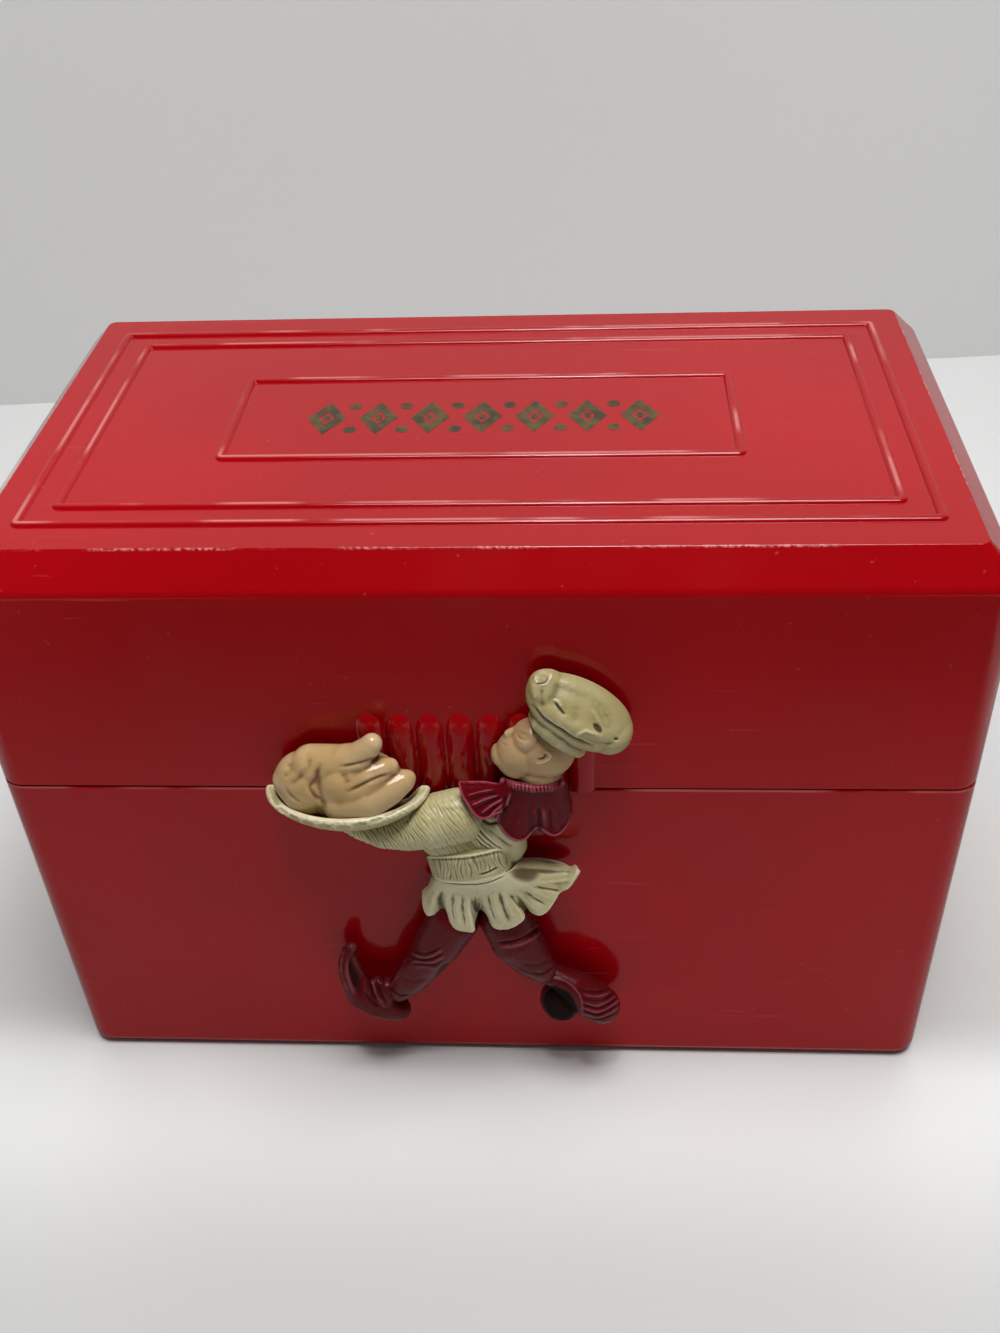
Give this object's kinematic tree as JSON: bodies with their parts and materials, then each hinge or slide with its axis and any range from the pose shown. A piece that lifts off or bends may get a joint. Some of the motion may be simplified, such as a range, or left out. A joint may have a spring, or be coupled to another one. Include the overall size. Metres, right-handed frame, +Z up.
{
  "type": "hinged card box",
  "caption": "Rectangular moulded plastic card box with a hinged lid, a reeded thumb grip, raised frame lines on top and a small cook figure on its front.",
  "frame": {"origin": "centre of the base's underside, which rests on the table", "axes": "+X along the box's length to the viewer's right, +Y from the front to the hinged back, +Z up"},
  "size_m": [0.14, 0.0936, 0.0991],
  "materials": {
    "red_plastic": "glossy moulded plastic with fine scratches",
    "pin_steel": "drawn wire",
    "cream_plastic": "satin with a dark wash in its recesses",
    "tan_plastic": "glossy",
    "maroon_plastic": "satin gloss",
    "gold_foil": "thin gold stamping on the lid's top, on no solid of its own"
  },
  "bodies": {
    "base": {"base_box": "red_plastic", "hinge_pin_left": "pin_steel", "hinge_pin_right": "pin_steel", "chef_hat": "cream_plastic", "chef_head": "tan_plastic", "neckerchief": "maroon_plastic", "platter": "cream_plastic", "roast_bird": "tan_plastic", "waistband": "cream_plastic", "jacket_sleeve": "cream_plastic", "jacket": "cream_plastic", "jacket_skirt": "cream_plastic", "left_shoe": "maroon_plastic", "left_leg": "maroon_plastic", "right_boot": "maroon_plastic", "right_leg": "maroon_plastic"},
    "lid": {"lid": "red_plastic"}
  },
  "joints": [
    {"name": "lid_hinge", "type": "hinge", "parent": "base", "child": "lid", "pos_m": [0, 0.04235, 0.0606], "axis": [-1, 0, 0], "range_deg": [0, 105]}
  ]
}
